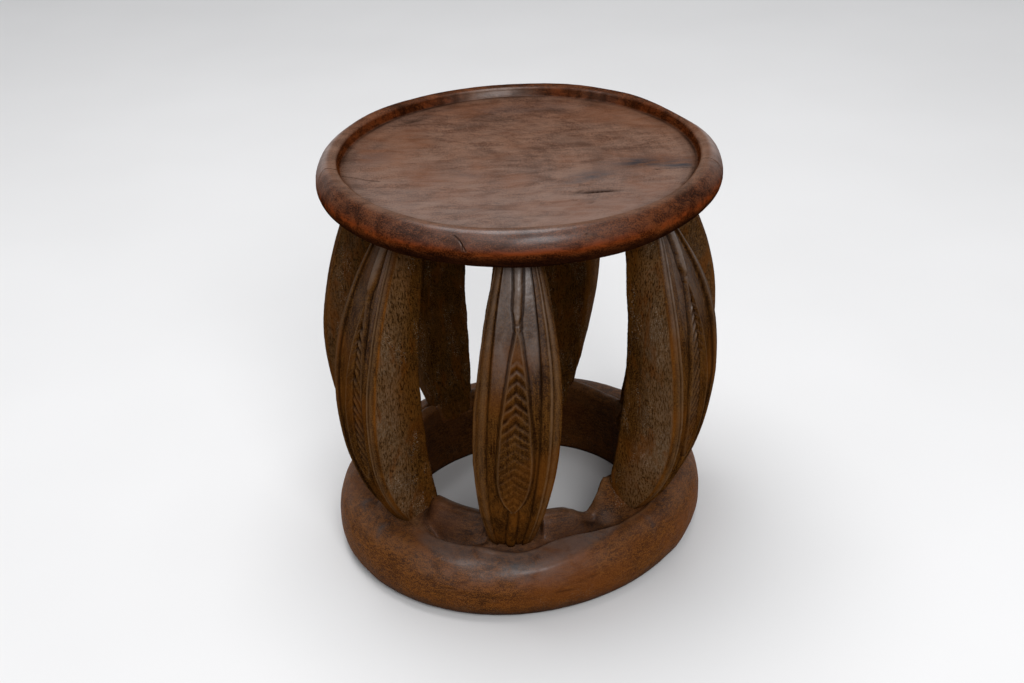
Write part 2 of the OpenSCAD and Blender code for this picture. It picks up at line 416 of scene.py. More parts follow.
def carvedWood(name):
    look = woodLooks[name]
    material = bpy.data.materials.new(name)
    sheet = clearSheet(material)
    place, facing = sheet.node("ShaderNodeTexCoord", out=(3, 1))
    upward = facing.split()[2]
    marks = SimpleNamespace(
        **{mark: sheet.node("ShaderNodeAttribute", {"attribute_name": mark}, out=2) for mark in handMarks}
    )
    tones = woodTones(sheet, place, look)
    broad, blotches = tones["broad"], tones["blotches"]
    places = wearLightAndShadePlaces(tones, marks)
    wornAndHighlit, pits, sunk = places.wornAndHighlit, places.pits, places.sunk
    wood = wornLitAndShadedWood(plainWood(look, tones, marks), look, tones, marks, upward, places)
    rough = look["roughness"] + (broad - 0.5) * 0.4 + sunk * 0.25 + pits * 0.2 - wornAndHighlit * 0.12
    relief = tones["streaks"] * 0.45 + tones["fine"] * 0.3 + broad * 0.5 - pits * 0.9 + blotches * 0.3
    bump = sheet.node(
        "ShaderNodeBump", None, {"Strength": look["bump"], "Distance": markStrengths["bumpHeight"], "Height": relief}
    )
    sheen = upward.step(0.05, 0.75) * marks.polish * look["sheen"] * (1 - sunk) * (0.55 + blotches * 0.9)
    sheet.node(
        "ShaderNodeBsdfPrincipled",
        None,
        {
            "Base Color": wood,
            "Roughness": rough.atLeast(markStrengths["leastRoughness"]),
            "Normal": bump,
            "Specular IOR Level": look["gloss"],
            "Coat Weight": (sheen + wornAndHighlit * markStrengths["wornShine"]).atMost(1),
            "Coat Roughness": look["sheenRoughness"],
        },
    ).show()
    return material


materials = {name: carvedWood(name) for name in woodLooks}
print("wood: three finishes")


staveSizes = {
    "Direction": 0.0,            # radians from +X
    "Oval": 1.0,                 # the ring's radius factor in that direction
    "Seed": 0.0,                 # moves the waver and the first cut
    "Mirror": 1.0,               # -1 puts the broad rib on the other side
    "Shelf": 58.0,
    "Leg height": 292.0,
    "Overlap": 2.5,              # reach into the ring and the seat
    "Foot out": 136.0,
    "Head out": 146.5,
    "Bow out": 52.0,
    "Foot in": 112.0,
    "Head in": 116.5,
    "Bow in": 17.0,
    "Foot outer width": 34.0,
    "Head outer width": 29.0,
    "Belly outer width": 40.0,
    "Foot inner width": 44.0,
    "Head inner width": 40.0,
    "Belly inner width": 11.0,
    "Bow skew": 0.9,             # lower numbers bring the widest place down
    "Belly skew": 1.15,
    "Right swell": 0.0,          # extra width of one side, high up
    "Left swell": 0.0,
    "Bend": 0.0,                 # sideways, at mid height
    "Head shift": 0.0,
    "Foot shift": 0.0,
    "Crown": 7.0,
    "Rib height": 2.1,
    "Field depth": 2.8,
    "Low relief": 1.0,           # share of the ribs and seams left in the lower half
    "Leaf height": 2.0,          # above the field
    "Leaf width": 30.5,
    "Leaf shift": 0.0,           # sideways, of the leaf and its stems
    "Field sheen": 0.15,         # how much gloss and painted sheen the high field gets
    "Stem sheen": 0.45,
    "Corner glow": 0.45,         # painted red brown glow along the corners
    "Low warmth": 0.0,           # the same colour, low on the face
    "Side wear": 0.3,            # wear, lime rubbed into the sides, and painted glints on them
    "Leaf low": 65.0,
    "Leaf length": 180.0,
    "Stem width": 7.4,
    "Cut pitch": 8.9,            # herringbone cuts up the leaf
    "Cut side": 0.0,             # 1 or -1 cuts mainly that half of the leaf
    "Cut low": 0.8,              # how much of a cut is left low on the leaf
    "Cut high": 0.93,            # where up the leaf the cuts end
    "Cut slope": 1.25,
    "Cut depth": 2.3,
    "Vein depth": 1.6,
    "Hand waver": 1.5,
}
legOwnSizes = {  # where one stave differs from the rest
    "leg_1": {
        "Head outer width": 33,
        "Belly outer width": 42,
        "Right swell": 1,
        "Left swell": -2.7,
        "Head shift": 3.6,
        "Foot shift": -3.8,
        "Low relief": 0.7,
        "Low warmth": 0.42,
        "Corner glow": 0.2,
        "Stem width": 6.6,
        "Field sheen": 1,
        "Cut slope": 0.85,
        "Cut low": 0.55,
        "Cut high": 0.84,
        "Vein depth": 0.3,
    },
    "leg_2": {
        "Foot out": 139.5,
        "Bow out": 48.6,
        "Bow in": 12.4,
        "Head outer width": 22,
        "Belly outer width": 50,
        "Bow skew": 0.79,
        "Belly skew": 1.35,
        "Right swell": 8.6,
        "Left swell": 0.5,
        "Bend": 1,
        "Head shift": -1.2,
        "Foot shift": -1.1,
        "Mirror": -1,
        "Cut side": -1,
        "Cut depth": 3.4,
        "Field sheen": 0.5,
        "Stem sheen": 1.2,
        "Low warmth": 0.22,
        "Side wear": 1,
    },
    "leg_3": {"Bow out": 50.6, "Bend": 0.6},
    "leg_4": {
        "Bow out": 50.4,
        "Belly outer width": 37.4,
        "Belly inner width": 15.8,
        "Left swell": -1.3,
        "Bend": -1.2,
        "Mirror": -1,
    },
    "leg_5": {"Bow in": 14.3, "Foot outer width": 31, "Foot inner width": 41, "Bend": -1, "Head shift": -0.8},
    "leg_6": {
        "Head out": 149.5,
        "Bow out": 48.6,
        "Belly outer width": 38.4,
        "Bow skew": 0.79,
        "Bend": -1.1,
        "Foot shift": 1.2,
        "Mirror": -1,
    },
    "leg_7": {
        "Head out": 143,
        "Bow out": 50.3,
        "Foot in": 109,
        "Head in": 119,
        "Bow in": 18.6,
        "Belly outer width": 30.6,
        "Foot inner width": 46.9,
        "Head inner width": 38.5,
        "Belly inner width": 12.3,
        "Belly skew": 1.29,
        "Right swell": -1.7,
        "Left swell": 3.7,
        "Bend": -0.9,
        "Foot shift": 2,
        "Leaf shift": 4.5,
        "Leaf width": 27,
        "Stem sheen": 0.22,
        "Corner glow": 1.2,
        "Side wear": 0.85,
        "Cut side": 1,
        "Cut depth": 3.8,
    },
}


staveGrid = {"Vertices X": 96, "Vertices Y": 24, "Vertices Z": 376}  # across, through and up


def staveValues(i):
    direction = legDirection(i)
    found = {"Direction": math.radians(direction), "Oval": float(ovalAt(direction)), "Seed": i + 1}
    return {**staveSizes, **found, **legOwnSizes.get(legNames[i], {})}


def placeOnBlock(sheet, size):  # across -1 to 1, up and inward 0 to 1
    x, y, z = sheet.node("GeometryNodeInputPosition").split()
    across = x * (0.75 + 0.25 * x * x)  # more points near the middle
    run = z + 0.5
    gather = 0.3 / (2 * math.pi)
    up = run - (run * (2 * math.pi)).maths("SINE") * gather  # more points at both ends
    height = up * size["Leg height"]
    spot = sheet.node("ShaderNodeCombineXYZ", None, {0: across * 20, 1: size["Seed"] * 37, 2: height})
    return SimpleNamespace(
        across=across,
        up=up,
        down=1 - up,
        inward=y + 0.5,
        height=height,
        waver=spot.noise(0.022, 2) - 0.5,
        tremble=spot.noise(0.11, 2) - 0.5,
    )


def staveOutline(size, at):  # as in the solids
    flat = 1 + (size["Oval"] - 1) * at.down
    outBow = size["Bow out"] * at.up.swell(size["Bow skew"], 0.75)
    inBow = size["Bow in"] * at.up.swell(1, 1.2)
    outWidth = size["Foot outer width"].towards(size["Head outer width"], at.up)
    inWidth = size["Foot inner width"].towards(size["Head inner width"], at.up)
    return SimpleNamespace(
        outRadius=(size["Foot out"].towards(size["Head out"], at.up) + outBow) * flat,
        inRadius=(size["Foot in"].towards(size["Head in"], at.up) + inBow) * flat,
        outHalf=(outWidth + size["Belly outer width"] * at.up.swell(size["Belly skew"], 0.85)) * 0.5,
        inHalf=(inWidth + size["Belly inner width"] * at.up.swell(1, 1)) * 0.5,
    )


def staveEdges(size, at):
    # On one side a broad rib with a thin bead outside it, on the other a flat
    # band, a thin bead and a broad edge
    other = (at.across * size["Mirror"]).step(-0.05, 0.05)
    share = at.across.size() + at.waver * 0.04 + at.tremble * 0.015
    broadRib = share.hump(0.80 + other * 0.10, 0.125 - other * 0.035)
    thinRib = share.hump(0.965 - other * 0.185, 0.035 + other * 0.005)
    kept = size["Low relief"].towards(1, at.up.step(0.40, 0.72))
    grown = at.height.step(2, 38) * kept
    band = share.step(0.555, 0.60) * (1 - share.step(0.70, 0.74)) * other
    crests = (broadRib * broadRib * 0.5 + thinRib * (0.5 + other * 0.5)).atMost(1)
    return SimpleNamespace(
        kept=kept,
        grown=grown,
        band=band,
        ribs=(broadRib + thinRib * (0.5 + other * 0.4) + band * 0.35) * size["Rib height"] * grown,
        crests=crests * (0.35 + grown * 0.65),
        crease=share.hump(0.672 - other * 0.125, 0.034),
        split=share.hump(0.932 - other * 0.105, 0.022),
        field=1 - share.step(0.615 - other * 0.085, 0.675 - other * 0.085),
        corner=share.step(0.96, 0.99),
    )


def leafAndStems(size, at, outHalf):  # down the middle of the field
    besideMiddle = at.across * outHalf - size["Leaf shift"] + at.waver * 3.0 + at.tremble * 1.0
    off = besideMiddle.size()
    leafUp = (at.height - size["Leaf low"]) / size["Leaf length"]
    leafShare = leafUp.atLeast(0).atMost(1)
    leafHalf = size["Leaf width"] * 0.5 * leafShare.swell(0.58, 1.15 - 0.43 * leafShare.step(0, 0.4))
    above = at.height - size["Leaf low"] - size["Leaf length"]
    below = size["Leaf low"] - at.height
    neck, lowHalf, leastHalf = 2.1, 3.4, 0.7
    stemHalf = neck + (size["Stem width"] * 0.5 - neck) * above.step(1, 13)
    highStem = above.step(-7, -3)
    lowStem = below.step(-9, 3)
    half = leafHalf.atLeast(stemHalf * highStem).atLeast(lowStem * lowHalf).atLeast(leastHalf)
    past = off - half
    inLeaf = leafUp.step(-0.001, 0.001) * (1 - leafUp.step(0.999, 1.001))
    return SimpleNamespace(
        besideMiddle=besideMiddle,
        off=off,
        up=leafUp,
        past=past,
        inLeaf=inLeaf,
        body=1 - past.step(-0.9, 0.9),
        bead=past.hump(-1.1, 1.1),
        groove=past.hump(1.3, 1.2),
        rounded=(1 - (off / half) * (off / half)).atLeast(0) ** 0.5,
        risen=above.step(-1, 7),
        middle=inLeaf * leafHalf.step(3.0, 6.0),
    )


def herringbone(size, at, leaf):  # cuts across the leaf, deepest in its upper half
    beat = (at.height + leaf.off * size["Cut slope"]) / size["Cut pitch"]
    beat = beat + at.waver * 1.6 + at.tremble * 0.5 + size["Seed"] * 0.37
    beat = beat.maths("FRACT")
    chipEnd, chipStart = 0.6, 0.86  # of each beat; the wood between stands
    chip = (1 - beat / chipEnd).atLeast((beat - chipStart) / (1 - chipStart)).atLeast(0)
    worked = size["Cut low"].towards(1, leaf.up.step(0.45, 0.62))
    worked = worked * (1 - (0.08 - leaf.up).step(-0.08, 0.06) * 0.6)
    worked = worked * (1 - (leaf.up - size["Cut high"]).step(-0.05, 0.03) * 0.9)
    worked = worked * ((leaf.besideMiddle * size["Cut side"]).step(-2.0, 0.7) * 0.85 + 0.15)
    worked = worked * (0.9 + at.tremble * 2.6 + at.waver * 1.6).atLeast(0.15).atMost(1.3)
    chipPlace = (1 - leaf.past.step(-3.0, -1.2)) * leaf.middle * worked
    return SimpleNamespace(
        chip=chip * chipPlace,
        edge=beat.hump(0.79, 0.15) * chipPlace * (0.4 + leaf.up),
        vein=leaf.off.hump(0, 1.3) * leaf.middle * size["Vein depth"] * (1 - leaf.up.step(0.84, 0.97)),
    )


def bentPlace(sheet, size, at, outline, relief):
    outward = outline.outRadius - size["Crown"] * at.across * at.across + relief
    sixth = (at.across * at.across) ** 3
    innerFace = outline.inRadius + sixth * sixth * 2.5
    radial = outward.towards(innerFace, at.inward)
    bulge = at.inward * (1 - at.inward) * 4 * at.up.swell(1, 1) * 1.3
    highSwell = at.up.swell(1.84, 1.5) * (1 - at.inward)
    ownSwell = size["Right swell"] * at.across.atLeast(0) + size["Left swell"] * at.across.atMost(0)
    sideways = at.across * (outline.outHalf.towards(outline.inHalf, at.inward) + bulge)
    sideways = sideways + highSwell * ownSwell
    sideways = sideways + size["Bend"] * at.up.swell(1, 1)
    sideways = sideways + size["Foot shift"].towards(size["Head shift"], at.up)
    lean = at.down * at.down  # from the seat's centre over to the ring's
    centreX, centreY = (
        high + (low - high) * lean for high, low in zip(layout["seatCentre"], layout["ringCentre"])
    )
    cosine, sine = size["Direction"].maths("COSINE"), size["Direction"].maths("SINE")
    ends = (at.up * 2 - 1) ** 9
    return sheet.node(
        "ShaderNodeCombineXYZ",
        None,
        {
            0: centreX + radial * cosine - sideways * sine,
            1: centreY + radial * sine + sideways * cosine,
            2: size["Shelf"] + at.height + ends * size["Overlap"],
        },
    )


def staveMarks(size, at, edges, leaf, cuts):
    front = 1 - at.inward.step(0.0, 0.05)
    # Crests take wear and painted highlights; cuts, grooves and seams take painted shade
    stemTop = leaf.rounded * leaf.body * leaf.risen
    crests = (edges.crests + leaf.bead * leaf.inLeaf * 0.5 + stemTop * 0.8 + cuts.edge * 0.6).atMost(1)
    hollows = (cuts.chip * 0.9 + leaf.groove * 0.85 * edges.field * edges.kept + cuts.vein * 0.45).atMost(1)
    seams = (edges.crease * 0.85 + edges.split * 0.5) * edges.kept
    # Gloss and painted sheen high on the field, the crests and the band
    fieldShine = edges.field * (1 - leaf.body * leaf.inLeaf * 0.8) * size["Field sheen"]
    bright = (fieldShine + crests * size["Stem sheen"] + edges.band * 0.3).atMost(1)
    bright = bright * at.up.step(0.56 + at.waver * 0.2, 0.82) + 0.03
    # Wear, lime and painted glints beside the face; painted glow along the corners; red brown low on the face
    nearFace = at.inward.step(0.0, 0.03) * (1 - at.inward.step(0.3, 0.8 + at.waver * 0.5))
    besideFace = nearFace * (at.up.hump(0.48, 0.56) * 1.6).atMost(1)
    corner = edges.corner * (1 - at.inward.step(0.02, 0.07))
    edgeGlow = corner * at.up.hump(0.55, 0.5) * size["Corner glow"]
    lowGlow = (1 - at.up.step(0.12, 0.5)) * front * size["Low warmth"]
    return {
        "ridge": (crests * front + besideFace * size["Side wear"]).atMost(1),
        "cavity": (hollows + seams).atMost(1) * front,
        "pitted": at.inward.step(0.0, 0.06),
        "polish": bright * front,
        "glow": (edgeGlow + lowGlow).atMost(1),
    }


def knifeWork(sheet, size, shape):  # waver of the cut faces, and the blade's scoops on the plain ones
    here = sheet.node("GeometryNodeInputPosition")
    drift = here.noise(0.019, 1, out=1).plus((-0.5, -0.5, -0.5)).scaled(size["Hand waver"])
    moved = shape.node("GeometryNodeSetPosition", None, {"Geometry": shape, "Offset": drift})
    normal = sheet.node("GeometryNodeInputNormal")
    stretched = here.times((1, 1, 0.45))
    cells = {"Vector": stretched, "Scale": 0.085, "Smoothness": 0.35}
    scoop = stretched.node("ShaderNodeTexVoronoi", {"feature": "SMOOTH_F1"}, cells)
    nicks = here.noise(0.36, 3, 0.6) - 0.5
    plainFace = sheet.node("GeometryNodeInputNamedAttribute", {"data_type": "FLOAT"}, {"Name": "pitted"})
    press = plainFace * ((scoop - 0.4) * 1.5 + nicks * 1.2) + (1 - plainFace) * nicks * 0.4
    return moved.node("GeometryNodeSetPosition", None, {"Geometry": moved, "Offset": normal.scaled(press)})


def carvedStave():
    sheet, size = newSheet("carvedStave", staveSizes)
    stave = sheet.node("GeometryNodeMeshCube", None, {"Size": (2, 1, 1), **staveGrid})
    at = placeOnBlock(sheet, size)
    outline = staveOutline(size, at)
    edges = staveEdges(size, at)
    leaf = leafAndStems(size, at, outline.outHalf)
    cuts = herringbone(size, at, leaf)
    relief = (
        edges.ribs
        - edges.field * size["Field depth"]
        + leaf.body * edges.field * (size["Leaf height"] + leaf.rounded * (0.5 + leaf.risen * 1.5))
        + leaf.bead * 0.5 * leaf.inLeaf * edges.field
        - leaf.groove * 0.7 * edges.field * edges.kept
        - cuts.chip * size["Cut depth"]
        - cuts.vein
        - edges.split * 0.4 * edges.grown
        - edges.crease * 0.6 * edges.kept * edges.grown
    )
    place = bentPlace(sheet, size, at, outline, relief)
    # The marks go on before the block is bent, while its points still know their place on it
    for mark, amount in staveMarks(size, at, edges, leaf, cuts).items():
        stave = storeAttribute(stave, mark, amount)
    stave = stave.node("GeometryNodeSetPosition", None, {"Geometry": stave, "Position": place})
    stave = knifeWork(sheet, size, stave)
    metres = stave.node("GeometryNodeTransform", None, {"Geometry": stave, "Scale": (millimetre,) * 3})
    endSheet(metres, materials["legWood"])
    return sheet


staveSheet = carvedStave()
for i, name in enumerate(legNames):
    stave = takeMesh(newPiece(f"carved_{name}"), staveSheet, staveValues(i))
    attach(stave, "root")
    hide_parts(name)
    print(stave.name, len(stave.data.polygons), "faces")


def rounding(centre, level, run, rise, fromAngle, toAngle, power, count):  # a softened corner
    angles = np.radians(np.linspace(fromAngle, toAngle, count))
    cosine, sine = np.cos(angles), np.sin(angles)
    return np.stack(
        [
            centre + run * np.sign(cosine) * np.abs(cosine) ** power,
            level + rise * np.sign(sine) * np.abs(sine) ** power,
        ],
        1,
    )


def smoothStep(value, low, high):
    share = np.clip((value - low) / (high - low), 0, 1)
    return share * share * (3 - 2 * share)


def zone(value, rise, fall):  # 1 between its two smooth ends
    return smoothStep(value, *rise) * (1 - smoothStep(value, *fall))


def bump(value, centre, halfWidth):
    return np.exp(-(((value - centre) / halfWidth) ** 2))


def spotField(x, y, spots):  # soft oval spots: x, y, length, width, turn, strength
    total = np.zeros(np.broadcast(x, y).shape)
    for spotX, spotY, spotLength, spotWidth, spotTurn, strength in spots:
        cosine, sine = math.cos(math.radians(spotTurn)), math.sin(math.radians(spotTurn))
        u = ((x - spotX) * cosine + (y - spotY) * sine) / spotLength
        v = (-(x - spotX) * sine + (y - spotY) * cosine) / spotWidth + 0.5 * u * u
        total += np.exp(-2 * (u * u + v * v)) * strength
    return total


def roundMesh(name, points, closedSection, attributes):  # an open section gets a pole at each end
    stations, count = points.shape[:2]
    vertices = points.reshape(-1, 3)
    station = np.arange(stations)[:, None]
    following = (station + 1) % stations
    if closedSection:
        here = np.arange(count)[None, :]
        beside = (here + 1) % count
    else:
        here = np.arange(count - 1)[None, :]
        beside = here + 1
    one, two = station * count, following * count
    quads = np.stack([one + here, two + here, two + beside, one + beside], -1).reshape(-1, 4)
    faces = [tuple(row) for row in quads.tolist()]
    if not closedSection:
        low, high = len(vertices), len(vertices) + 1
        ends = np.stack([points[:, 0].mean(0), points[:, -1].mean(0)])
        vertices = np.concatenate([vertices, ends])
        for i in range(stations):
            n = (i + 1) % stations
            faces.append((low, n * count, i * count))
            faces.append((high, i * count + count - 1, n * count + count - 1))
    mesh = bpy.data.meshes.new(name)
    mesh.from_pydata((vertices * millimetre).tolist(), [], faces)
    for label, values in attributes.items():
        flat = np.clip(values, 0, 1).reshape(-1)
        if not closedSection:
            flat = np.concatenate([flat, flat[[0, count - 1]]])
        mesh.attributes.new(label, "FLOAT", "POINT").data.foreach_set("value", flat.astype(np.float32))
    mesh.update()
    return mesh


handCutSizes = {"Broad": 1.0, "Fine": 0.25, "Seed": 0.0}  # waver of the surface, millimetres


def handCut(material):
    sheet, size = newSheet("handCut_" + material.name, handCutSizes, takesMesh=True)
    here = sheet.node("GeometryNodeInputPosition").scaled(1 / millimetre)
    lift = here.split()[2].step(0, 8)
    shifted = here.plus(sheet.node("ShaderNodeCombineXYZ", None, {0: size["Seed"] * 91}))
    broad = shifted.noise(0.025, 2) - 0.5
    small = shifted.noise(0.14, 3, 0.55) - 0.5
    amount = (broad * size["Broad"] * 2 + small * size["Fine"] * 2) * lift * millimetre
    normal = sheet.node("GeometryNodeInputNormal")
    offset = normal.scaled(amount)
    shape = sheet.node("GeometryNodeSetPosition", None, {"Geometry": size["Geometry"], "Offset": offset})
    endSheet(shape, material)
    return sheet


seatSizes = {
    "underside": 350.0,      # height of the flat underside
    "radius": 180.0,
    "height": 38.5,
    "underRun": 30.0,
    "midHeight": 20.5,       # the rim's widest line
    "crestRun": 12.0,
    "lipRun": 8.0,
    "lipHeight": 3.5,
    "wallHeight": 9.5,
    "wallLean": 3.0,
    "sag": 3.0,
    "roundness": 1.1,
    "settled": 1.1,          # how much deeper the dish is at the back
    "flatSpot": 6.0,         # how far in the rim's edge is where it is flatter
    "flatSpotDirection": 28.0,
    "flatSpotReach": 20.0,   # degrees
}
seatRows = {"flat": 8, "side": 32, "lip": 12, "wall": 8, "floor": 66}  # points of each part of the section
seatStations = {  # degrees; the sections stand closer together at the cracks
    "spacing": 0.85,
    "fineSpots": (-169, -165, -13.2, -106.0),
    "fineReach": 2.6,
    "fineSpacing": 0.13,
}
seatZones = {  # where each rises and falls along the section, from the rim's crest inwards
    "rim": ((-60, -30), (8, 18)),
    "edge": ((-60, -30), (-4, 8)),
    "band": ((-23.5, -18), (-3, 2)),
    "streakedWall": ((5, 8), (14.5, 16.5)),
    "redWall": ((6, 10), (15.5, 17.5)),
}
# Each crack runs through pairs of direction and distance inwards from the rim's crest
seatCracks = [
    {
        "width": 0.8,
        "depth": 1.6,
        "path": [(-163, -27), (-167, -14), (-169.6, -3.5), (-168.6, 5), (-170.2, 14),
                 (-169.5, 18), (-167.4, 28), (-164, 38), (-162, 46)],
    },
    {
        "width": 0.7,
        "depth": 1.4,
        "path": [(-13.6, -17), (-12.8, -10), (-13.4, -5), (-13.0, 4), (-13.3, 12),
                 (-12.7, 17), (-13.3, 27), (-14.6, 40), (-16.0, 52)],
    },
    {"width": 0.55, "depth": 1.0, "path": [(-108, -8), (-106.4, -12), (-105.3, -17), (-104.6, -20.5)]},
    {"width": 0.45, "depth": 0.6, "path": [(-106.2, -12.5), (-105.6, -15), (-105.5, -20)]},
    {"width": 0.5, "depth": 0.6, "path": [(-74.0, -9), (-73.0, -12), (-73.4, -15)]},
]
seatDents = [  # x, y, length, width, turn in degrees, depth; x and y from the seat's centre
    (66, -74, 21, 3.6, 4, 2.3),
    (50, -72, 7, 2.5, 30, 1.0),
    (44, -91, 5, 2, 0, 0.6),
    (58, -98, 6, 2, 10, 0.6),
    (108, -18, 34, 14, 10, 0.6),
    (-98, 103, 24, 6, 38, 1.0),
    (-120, 62, 20, 6, 60, 0.4),
    (132, 96, 30, 6, -52, 0.7),
    (30, 120, 34, 8, -12, 0.5),
    (9, -121, 46, 5, 2, 0.35),
    (-20, -104, 40, 4, -8, 0.35),
]
seatStains = [  # x, y, length, width, turn in degrees, strength
    (118, -16, 44, 13, -8, 1.3),
    (60, -42, 34, 15, 20, 0.9),
    (146, -27, 24, 7, 0, 1.0),
    (-132, 20, 22, 30, 10, 0.35),
    (10, 130, 60, 16, 4, 0.35),
    (-40, -30, 30, 8, -10, 0.25),
]


def seatOutline():
    s, rows = seatSizes, seatRows
    underRadius = s["radius"] - s["underRun"]
    crestRadius = s["radius"] - s["crestRun"]
    lipRadius = crestRadius - s["lipRun"]
    dishRadius = lipRadius - s["wallLean"]
    dishFloor = s["height"] - s["wallHeight"]
    lipFoot = s["height"] - s["lipHeight"]
    rise = s["height"] - s["midHeight"]
    firstRadius, lastRadius = 6, 3  # of the rings next to the poles, below and above
    flatRadii = np.linspace(firstRadius, underRadius, rows["flat"] + 1)[:-1]
    flat = np.stack([flatRadii, np.zeros(rows["flat"])], 1)
    side = s["roundness"], rows["side"]
    lower = rounding(underRadius, s["midHeight"], s["underRun"], s["midHeight"], -90, 0, *side)
    upper = rounding(crestRadius, s["midHeight"], s["crestRun"], rise, 0, 90, *side)
    lip = rounding(crestRadius, lipFoot, s["lipRun"], s["lipHeight"], 90, 180, 1, rows["lip"])
    wallRadii = np.linspace(lipRadius, dishRadius + 1.2, rows["wall"])
    wall = np.stack([wallRadii, np.linspace(lipFoot, dishFloor + 0.8, rows["wall"])], 1)
    floorRadii = np.linspace(dishRadius - 0.6, lastRadius, rows["floor"])
    floor = np.stack([floorRadii, dishFloor - s["sag"] * (1 - (floorRadii / dishRadius) ** 2)], 1)
    beforeCrest = len(flat) + len(lower) + len(upper) - 2
    return np.concatenate([flat, lower, upper[1:], lip[1:], wall[1:], floor]), beforeCrest


def stationAngles(spacing, fineSpots, fineReach, fineSpacing):
    angles = [-180.0]
    while angles[-1] < 180 - spacing * 0.6:
        near = min(abs(angles[-1] - spot) for spot in fineSpots)
        angles.append(angles[-1] + (fineSpacing if near < fineReach else spacing))
    return np.array([angle for angle in angles if angle < 180 - spacing * 0.4])


def pathDistance(across, along, path):
    best = np.full(across.shape, 1e9)
    for (x0, y0), (x1, y1) in zip(path[:-1], path[1:]):
        dx, dy = x1 - x0, y1 - y0
        share = np.clip(((across - x0) * dx + (along - y0) * dy) / (dx * dx + dy * dy), 0, 1)
        best = np.minimum(best, np.hypot(across - x0 - share * dx, along - y0 - share * dy))
    return best


def seatLines():  # where each point of the seat's mesh is, before the hand's marks
    outline, crestRow = seatOutline()
    steps = np.hypot(*np.diff(outline, axis=0).T)
    length = np.concatenate([[0], np.cumsum(steps)])
    length -= length[crestRow]
    tangent = np.gradient(outline, axis=0)
    tangent /= np.linalg.norm(tangent, axis=1)[:, None]
    degrees = stationAngles(**seatStations)[:, None]
    turn = np.radians(degrees)
    radius = outline[None, :, 0]
    along = length[None, :] + np.zeros((len(degrees), len(outline)))
    return SimpleNamespace(
        degrees=degrees,
        turn=turn,
        radius=radius,
        level=outline[None, :, 1],
        outward=tangent[None, :, 1],
        upward=-tangent[None, :, 0],
        along=along,  # from the rim's crest inwards
        x=radius * np.cos(turn),
        y=radius * np.sin(turn),
        rear=smoothStep(np.sin(turn), -0.3, 0.6),
        onWall=zone(along, *seatZones["streakedWall"]),
        onFloor=smoothStep(along, 17, 23),
        # where a painted reflection lies on the rear wall
        violet=bump(degrees, 97, 13) + 0.25 * bump(degrees, 60, 9),
    )


def seatShade(at):  # painted shade at the foot of the wall and in streaks down it
    draws = np.random.default_rng(5).normal(size=len(at.degrees) + 2)
    streaks = np.convolve(draws, (0.3, 0.5, 0.3), "valid")[:, None]
    cavity = bump(at.along, 17.2, 2.0) * (0.65 + 0.2 * np.sin(3 * at.turn + 1) + 0.15 * np.sin(13 * at.turn))
    cavity = cavity + at.onWall * at.rear * (np.clip(streaks, 0, 1) * 0.5 * (1 - 0.6 * at.violet) + 0.12)
    return cavity + bump(at.along, 22, 6) * 0.22


# Painted highlights on the lip, the crest and the rear foot of the wall, and a painted reflection on the rear
# wall
def seatRidges(at):
    ridge = bump(at.along, 5.5, 3.0) * (0.55 - 0.45 * at.rear)
    ridge = ridge + bump(at.along, 0, 3.0) * 0.25 * (1 - at.rear)
    return ridge + at.onWall * at.violet * 1.2 + bump(at.along, 18.2, 0.9) * 0.5 * at.rear


def crackMarks(at, crack):  # how deep the crack is at each point, 0 to 1, and its light edges
    middleRadius, leastRadius = seatSizes["radius"] - seatSizes["crestRun"], 90
    arc = math.radians(1) * middleRadius
    path = [(direction * arc, distance) for direction, distance in crack["path"]]
    away = pathDistance(at.degrees * arc + 0 * at.along, at.along, path)
    away = away * (np.maximum(at.radius, leastRadius) / middleRadius)
    gash = np.clip(1 - away / crack["width"], 0, 1)
    return gash, np.clip(1 - np.abs(away - crack["width"] * 1.7) / 0.8, 0, 1) * 0.35


def seatRed(at):  # red brown outside the rim and on the wall, less of it on the crest and the sides; on the wall and the far half of the dish the darker red is painted shade
    outside = 1 - smoothStep(at.along, -6, 1) * (0.35 - 0.25 * at.rear)
    outside = outside * (1 - 0.2 * bump(at.degrees, -95, 34) * smoothStep(at.along, -22, -15))
    outside = outside * (1 - 0.85 * bump(np.sin(at.turn), 0.05, 0.38) * smoothStep(at.along, -26, -14))
    outside = outside * (1 - smoothStep(at.along, 6, 10))
    farSide = smoothStep(at.y, 20, 165)
    return outside + zone(at.along, *seatZones["redWall"]) + at.onFloor * farSide * 0.42


def seatGlossAndSheen(at):  # gloss and painted sheen on the rim at the front and the sides, and on the near half of the dish; a painted reflection on the rear wall
    nearSide = smoothStep(-at.y, -60, 140)
    shine = 0.02 + 0.95 * bump(at.degrees, -93, 27) + 1.1 * bump(np.sin(at.turn), 0.05, 0.35)
    shine = zone(at.along, *seatZones["band"]) * shine + at.onFloor * (0.03 + 0.55 * nearSide)
    return shine + bump(at.along, 3, 4) * 0.15 * (1 - 0.9 * at.rear) + at.onWall * at.violet


# Painted bounce light: red orange round the rim's widest line, and on the rear wall
def seatGlow(at):
    frontward = smoothStep(-np.sin(at.turn), -0.5, 0.5)
    lowGlow = bump(at.along, -20.5, 4.2) * (0.3 + 0.7 * frontward)
    return lowGlow + bump(at.along, 12, 6) * 0.5 * at.rear * (1 - at.violet)


